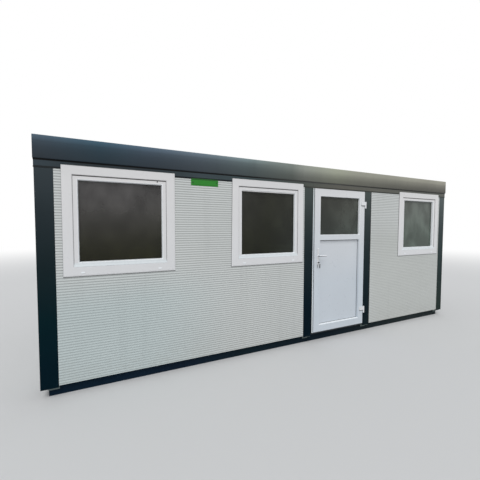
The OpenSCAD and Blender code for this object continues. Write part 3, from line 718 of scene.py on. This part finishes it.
# Dark line along the left side and the foot of each frame: painted shadow where the frame stands
# out from the wall
SHADOW_LINE_SIDE, SHADOW_LINE_LOW, SHADOW_LINE_OUT = 0.0014, 0.0052, 0.0050
panes, joints, beads = Build(), Build(), Build()
bars, strips, shadow_line = Build(), Build(), Build()
for k, (left_top, left_low, right_out, below) in enumerate(STRIPS, 1):
    lo, hi = span(f"window_sash_{k}")
    rect_seal(panes, inner(lo, hi, SASH_IN), PANE_Y, PANE_LIP, PANE_SIDES)
    rect_seal(beads, inner(lo, hi, BEAD_IN), SASH_Y, BEAD)
    lo, hi = span(f"window_frame_{k}")
    # Sash seals: real gaskets, drawn wider at the top as painted shadow under the frame's lip
    rect_seal(joints, inner(lo, hi, FRAME_LIP), SASH_Y, lip(0.0035, 0.0022), (0.6, 0.9, 0.5, 2.5))
    rail(bars, lo.x + FRAME_LIP + 0.0005, hi.x - FRAME_LIP - 0.0005,
         [(SASH_Y - out, lo.z + FRAME_LIP + z) for out, z in RAIN_BAR])
    x0, x1, z1 = lo.x, hi.x, hi.z
    low, front = lo.z - below, lo.y + STRIP_BACK
    taper(strips, x0 + 0.001, x0 - left_top, x0 - left_low, front, IN_WALL_Y, low, z1)
    taper(strips, x1 - 0.001, x1 + right_out, x1 + right_out, front, IN_WALL_Y, low, z1)
    strip(strips, x0 + 0.001, x1 - 0.001, front, low, lo.z + 0.001)
    out = FACE_Y - SHADOW_LINE_OUT
    taper(shadow_line, x0 - 0.0003, x0 - left_top - SHADOW_LINE_SIDE, x0 - left_low - SHADOW_LINE_SIDE, out,
          IN_WALL_Y, low - 0.001, z1)
    strip(shadow_line, x0 - left_low - SHADOW_LINE_SIDE, x1 + right_out, out, low - SHADOW_LINE_LOW, low + 0.0005)
panes.done("window_gaskets_and_shadow", "gasket")
beads.done("window_beads", "painted_highlight")
bars.done("sash_rain_bars", "rain")
joints.done("window_sash_seals_and_shadow", "seam")
strips.done("window_edge_strips", "window")
shadow_line.done("window_shadow_line", "gasket")

# Deeper bead over the second window's pane
lo, hi = span("window_sash_2")
build = Build()
build.block((lo.x + SASH_IN - 0.004, SASH_Y + 0.006, hi.z - SASH_IN - 0.0070),
            (hi.x - SASH_IN + 0.004, PANE_Y, hi.z - SASH_IN + 0.002))
build.done("window_head_bead", "window")

# Small dark stop on the first window's sash
build = Build()
STOP_X, STOP_Z = -1.975, 2.052
build.block((STOP_X - 0.0045, SASH_Y - 0.004, STOP_Z - 0.010),
            (STOP_X + 0.0045, SASH_Y, STOP_Z + 0.010))
build.done("window_stop", "gasket")

# Seals and beads of the door's pane and lower panel
build, beads = Build(), Build()
PANE_LAP = 0.010
leaf_lo, leaf_hi = span("door_leaf")
LEAF_Y = leaf_lo.y
# Beads of the leaf, round the pane and under the panel, in painted-highlight white: [inward, y]
# and [y, up]
LEAF_BEAD = [(-0.0065, -0.0005), (-0.0044, -0.0005), (-0.0016, 0.0026), (0.0004, 0.0300),
             (-0.0010, 0.0315), (-0.0065, 0.0008)]
LOW_BEAD = [(-0.0006, -0.0072), (-0.0006, -0.0044), (0.0026, -0.0010), (0.0300, 0.0012),
            (0.0300, -0.0010), (0.0010, -0.0072)]
lo, hi = span("door_glass")
rect_seal(build, inner(lo, hi, PANE_LAP), lo.y, PANE_LIP, PANE_SIDES)
rect_seal(beads, inner(lo, hi, PANE_LAP), LEAF_Y, LEAF_BEAD)
lo, hi = span("door_infill")
# Round the lower panel the gasket is widest at the top, as painted shadow under the mid rail
rect_seal(build, inner(lo, hi, PANE_LAP), lo.y, PANE_LIP, (1, 0.9, 1.1, 1.5))
rail(beads, lo.x + PANE_LAP - 0.006, hi.x - PANE_LAP + 0.006,
     [(LEAF_Y + y, lo.z + PANE_LAP + z) for y, z in LOW_BEAD])
build.done("door_pane_gaskets_and_shadow", "gasket", body="door")
beads.done("door_beads", "painted_highlight", body="door")

# Seal behind the leaf's flange, against the jambs and the head
build = Build()
FLANGE_T, EDGE_OUT, EDGE_W = 0.015, 0.0005, 0.0055
seal_front, seal_back = LEAF_Y + FLANGE_T - 0.0035, FACE_Y - 0.0003
for x in (leaf_lo.x - EDGE_OUT, leaf_hi.x + EDGE_OUT - EDGE_W):
    build.block((x, seal_front, leaf_lo.z + 0.004),
                (x + EDGE_W, seal_back, leaf_hi.z + EDGE_OUT), FINE)
build.block((leaf_lo.x - EDGE_OUT, seal_front, leaf_hi.z + EDGE_OUT - EDGE_W),
            (leaf_hi.x + EDGE_OUT, seal_back, leaf_hi.z + EDGE_OUT), FINE)
build.done("door_leaf_seal", "gasket", body="door")

# Dark strips between the door's posts and their neighbours on the left: painted shadow in the gaps
# there
build = Build()
SHADOW_W, SHADOW_OUT = 0.011, 0.0045
for x, top_w in ((span("door_frame")[0].x, 0.007), (span("door_post_covers")[1].x, SHADOW_W)):
    taper(build, x + 0.0015, x - top_w, x - SHADOW_W, FACE_Y - SHADOW_OUT, FACE_Y + 0.002,
          WALL_Z + 0.001, BAND_Z - 0.001)
build.done("post_edge_shadows", "gasket", "post_cover")

# Dark strip under the fascia, a painted shadow of its overhang, and a dark upright joint in the
# band
BAND_OUT = FACE_Y - span("top_rail_front")[0].y
FASCIA_Z = span("fascia_front")[0].z
plan = (LEFT_X, RIGHT_X, FACE_Y, BACK_Y)
build = Build()
SEAM_H = 0.013
build.belt([(BAND_OUT - 0.001, FASCIA_Z), (BAND_OUT + 0.0022, FASCIA_Z),
            (BAND_OUT + 0.0015, FASCIA_Z - SEAM_H), (BAND_OUT - 0.001, FASCIA_Z - SEAM_H)], plan)
JOINT_X, JOINT_W = 0.065, 0.004
build.block((JOINT_X - JOINT_W, FACE_Y - BAND_OUT - 0.0012, BAND_Z + 0.001),
            (JOINT_X, FACE_Y - BAND_OUT + 0.0005, FASCIA_Z - SEAM_H), FINE)
build.done("fascia_shadow_seam", "joint", "eaves_steel")

# The band's dark lower drip edge, in front only between the window frames; its tones along X are
# painted daylight
build = Build()
DRIP_H, DRIP_OUT, DRIP_EDGE = 0.016, BAND_OUT + 0.0015, 0.0006
stops = [LEFT_X - DRIP_OUT]
for x0, x1, z0, z1 in WINDOWS:
    stops += [LEFT_X + x0, LEFT_X + x1]
stops.append(RIGHT_X + DRIP_OUT)
front, back = FACE_Y - DRIP_OUT, BACK_Y + DRIP_OUT
drips = [(x0, x1, front, FACE_Y - BAND_OUT + 0.001) for x0, x1 in zip(stops[::2], stops[1::2])]
drips += [(stops[0], stops[-1], BACK_Y + BAND_OUT - 0.001, back),
          (stops[0], LEFT_X - BAND_OUT + 0.001, front + 0.0005, back - 0.0005),
          (RIGHT_X + BAND_OUT - 0.001, stops[-1], front + 0.0005, back - 0.0005)]
for x0, x1, y0, y1 in drips:
    build.block((x0, y0, BAND_Z), (x1, y1, BAND_Z + DRIP_H), DRIP_EDGE)
build.done("band_drip_edges", "drip", "eaves_steel")

# Screws of the green plate
build = Build()
plate_lo, plate_hi = span("marker_plate")
PLATE_Y = plate_lo.y
SCREWS = [(-1.595, 2.071), (-1.320, 2.078)]
for x, z in SCREWS:
    build.turned(x, z, [(0.0065, PLATE_Y + 0.0005), (0.0065, PLATE_Y - 0.0008),
                        (0.0050, PLATE_Y - 0.0022), (0.0018, PLATE_Y - 0.0027)])
build.done("marker_screws", "screw", "marker_green")

# Its folded edges: one laps the drip edge, one hangs below
build = Build()
LAP, TURN = 0.008, 0.012
lap_y, lap_z, low = FACE_Y - DRIP_OUT, BAND_Z + LAP, plate_lo.z - TURN
rail(build, plate_lo.x, plate_hi.x,
     [(lap_y - 0.0018, BAND_Z - 0.0015), (lap_y - 0.0018, lap_z - 0.0005),
      (lap_y - 0.0013, lap_z), (lap_y + 0.0004, lap_z), (lap_y + 0.0004, BAND_Z - 0.0003),
      (PLATE_Y + 0.001, BAND_Z - 0.0003), (PLATE_Y + 0.001, BAND_Z - 0.0015)])
rail(build, plate_lo.x, plate_hi.x,
     [(PLATE_Y, plate_lo.z + 0.001), (PLATE_Y, low + 0.0010), (PLATE_Y + 0.0008, low),
      (plate_hi.y, low), (plate_hi.y, plate_lo.z + 0.001)])
build.done("marker_edges", "green", "marker_green")

# Handle: a collar in painted-highlight white round the lever's neck, the lock's face and the keys
# on their ring
plates_lo, plates_hi = span("door_plates")
HANDLE_X = (plates_lo.x + plates_hi.x) / 2
LEVER_Z = (span("door_lever")[0].z + span("door_lever")[1].z) / 2
LOCK_Z = LEVER_Z - 0.092
LOCK_Y = plates_lo.y
PLATE_FRONT = LEAF_Y - 0.008
build = Build()
NECK_R, COLLAR_R = 0.0104, 0.0140
build.turned(HANDLE_X, LEVER_Z,
             [(NECK_R, PLATE_FRONT + 0.0005), (COLLAR_R, PLATE_FRONT + 0.0005),
              (COLLAR_R, PLATE_FRONT - 0.0040), (COLLAR_R - 0.0012, PLATE_FRONT - 0.0052),
              (NECK_R, PLATE_FRONT - 0.0052)], 32, hollow=True)

# Rounded top edge of the long plate, in painted-highlight white
PLATE_R = (plates_hi.x - plates_lo.x) / 2
ARCH = [(-0.0004, 0.0015), (-0.0012, -0.0012), (-0.0085, -0.0016), (-0.0100, 0.0005)]
arch = []
for k in range(21):
    t = math.radians(20 + 7 * k)
    arch.append([Vector((HANDLE_X + (PLATE_R + r) * math.cos(t), PLATE_FRONT + y,
                         plates_hi.z - PLATE_R + (PLATE_R + r) * math.sin(t))) for r, y in ARCH])
build.ring(arch, close_ends=True)

# Oval rosette of the lock: a rim in painted-highlight white round a dark face
LOCK_W, LOCK_H = 0.0140, 0.0102


def oval(grow, y):
    """The rosette's outline, grown by a width, in the plane at y."""
    return [Vector((HANDLE_X + (LOCK_W + grow) * math.cos(t), y,
                    LOCK_Z + (LOCK_H + grow) * math.sin(t))) for t in around(32)]


rim = [oval(-0.0020, PLATE_FRONT + 0.0005), oval(0.0012, PLATE_FRONT + 0.0005),
       oval(0.0012, LOCK_Y + 0.0010), oval(0.0002, LOCK_Y), oval(-0.0020, LOCK_Y)]
build.ring(rim + rim[:1])
build.done("lever_collar", "painted_highlight", body="door")

build = Build()
build.ring([oval(-0.0006, LOCK_Y + 0.0005), oval(-0.0006, LOCK_Y - 0.0005),
            oval(-0.0016, LOCK_Y - 0.0010)], close_ends=True)
build.done("lock_face", "lock", body="door")


def key(build, x, z, bow_r, length, blade_w, thick, hangs=True):
    """A flat key in the plane of Y and Z: a round bow with a hole, and a toothed blade."""
    def flat(points, side):
        return [Vector((x + side, BOW_Y + y, z + up)) for y, up in points]

    rim, hole = ([(r * math.cos(t), r * math.sin(t)) for t in around(32)]
                 for r in (bow_r, 0.3 * bow_r))
    half = thick / 2
    build.ring([flat(hole, -half), flat(rim, -half), flat(rim, half), flat(hole, half),
                flat(hole, -half)])
    blade = [(-blade_w / 2, -bow_r * 0.9)]
    for k in range(5):
        step = length * (k + 0.5) / 5
        blade += [(-blade_w / 2, -bow_r - step), (-blade_w * 0.22, -bow_r - step - length * 0.05)]
    blade += [(-blade_w * 0.2, -bow_r - length), (blade_w / 2, -bow_r - length * 0.96),
              (blade_w / 2, -bow_r * 0.9)]
    if not hangs:
        blade = [(-up, y) for y, up in blade]
    build.ring([flat(blade, -thick * 0.35), flat(blade, thick * 0.35)], close_ends=True)


build = Build()
BOW_Y = LOCK_Y - 0.0145
key(build, HANDLE_X, LOCK_Z, 0.0095, 0.006, 0.007, 0.0028, hangs=False)
key(build, HANDLE_X + 0.0155, LOCK_Z - 0.0307, 0.0085, 0.0390, 0.0135, 0.0060)
build.done("door_keys", "steel", body="door")

build = Build()
key(build, HANDLE_X - 0.0225, LOCK_Z - 0.0286, 0.0050, 0.0400, 0.0110, 0.0024)
RING_R, WIRE_R = 0.0210, 0.0009
middle = Vector((HANDLE_X - 0.003, BOW_Y, LOCK_Z - 0.0208))
loops = []
for t in around(28):
    out = Vector((math.cos(t), 0, math.sin(t)))
    loops.append([middle + out * (RING_R + WIRE_R * math.cos(a))
                  + Vector((0, WIRE_R * math.sin(a), 0)) for a in around(8)])
build.ring(loops + loops[:1])
build.done("spare_key", "spare", body="door")

# Dark strips under the hinge flaps: painted shadow of the flaps
flaps_lo, flaps_hi = span("door_hinge_flaps")
BARREL_H = 0.0547
build = Build()
for z in (flaps_lo.z, flaps_hi.z - BARREL_H):
    build.block((flaps_lo.x + 0.012, LEAF_Y - 0.0095, z - 0.0070),
                (flaps_hi.x - 0.030, LEAF_Y + 0.0005, z + 0.0008))
build.done("hinge_flap_shadows", "gasket", body="door")

# Studio floor: matt near the cabin, white from afar
FLOOR_R, FLOOR_NEAR, FLOOR_FAR = 60, 7.0, 22.0
corners = [(-FLOOR_R, -FLOOR_R, 0), (FLOOR_R, -FLOOR_R, 0), (FLOOR_R, FLOOR_R, 0),
           (-FLOOR_R, FLOOR_R, 0)]
floor_mesh = bpy.data.meshes.new("studio_floor")
floor_mesh.from_pydata(corners, [], [(0, 1, 2, 3)])
floor = bpy.data.objects.new("studio_floor", floor_mesh)
scene.collection.objects.link(floor)
matt = Nodes("studio_floor", (0.66, 0.665, 0.67), 0.9, 0.1)
reach = matt.tree.nodes.new("ShaderNodeVectorMath")
reach.operation = "LENGTH"
matt.link(matt.coord, reach.inputs[0])
glow = matt.tree.nodes.new("ShaderNodeEmission")
glow.inputs["Color"].default_value = (1, 1, 1, 1)
blend = matt.tree.nodes.new("ShaderNodeMixShader")
matt.link(matt.ramp(reach.outputs["Value"], FLOOR_NEAR, FLOOR_FAR), blend.inputs[0])
matt.link(matt.bsdf.outputs[0], blend.inputs[1])
matt.link(glow.outputs[0], blend.inputs[2])
matt.link(blend.outputs[0], matt.tree.nodes["Material Output"].inputs["Surface"])
floor_mesh.materials.append(matt.mat)

# World: white where it is seen or mirrored, softer as light
world = bpy.data.worlds.new("studio")
scene.world = world
world.use_nodes = True
tree = world.node_tree
lit = tree.nodes["Background"]
lit.inputs["Color"].default_value = (0.97, 0.985, 1.0, 1)
lit.inputs["Strength"].default_value = 0.60
seen = tree.nodes.new("ShaderNodeBackground")
seen.inputs["Color"].default_value = (1, 1, 1, 1)
seen.inputs["Strength"].default_value = 1.0
path = tree.nodes.new("ShaderNodeLightPath")
sight = path.outputs["Is Camera Ray"]
for kind in ("Is Glossy Ray", "Is Transmission Ray"):
    most = tree.nodes.new("ShaderNodeMath")
    most.operation = "MAXIMUM"
    tree.links.new(sight, most.inputs[0])
    tree.links.new(path.outputs[kind], most.inputs[1])
    sight = most.outputs[0]
blend = tree.nodes.new("ShaderNodeMixShader")
tree.links.new(sight, blend.inputs[0])
tree.links.new(lit.outputs[0], blend.inputs[1])
tree.links.new(seen.outputs[0], blend.inputs[2])
tree.links.new(blend.outputs[0], tree.nodes["World Output"].inputs["Surface"])


def sun(name, strength, spread, direction):
    data = bpy.data.lights.new(name, "SUN")
    data.energy = strength
    data.angle = math.radians(spread)
    lamp = bpy.data.objects.new(name, data)
    lamp.rotation_euler = Vector(direction).to_track_quat("-Z", "Y").to_euler()
    scene.collection.objects.link(lamp)


sun("key_light", 1.40, 30, (0.42, 0.8, -1.05))

scene.view_settings.view_transform = "Standard"
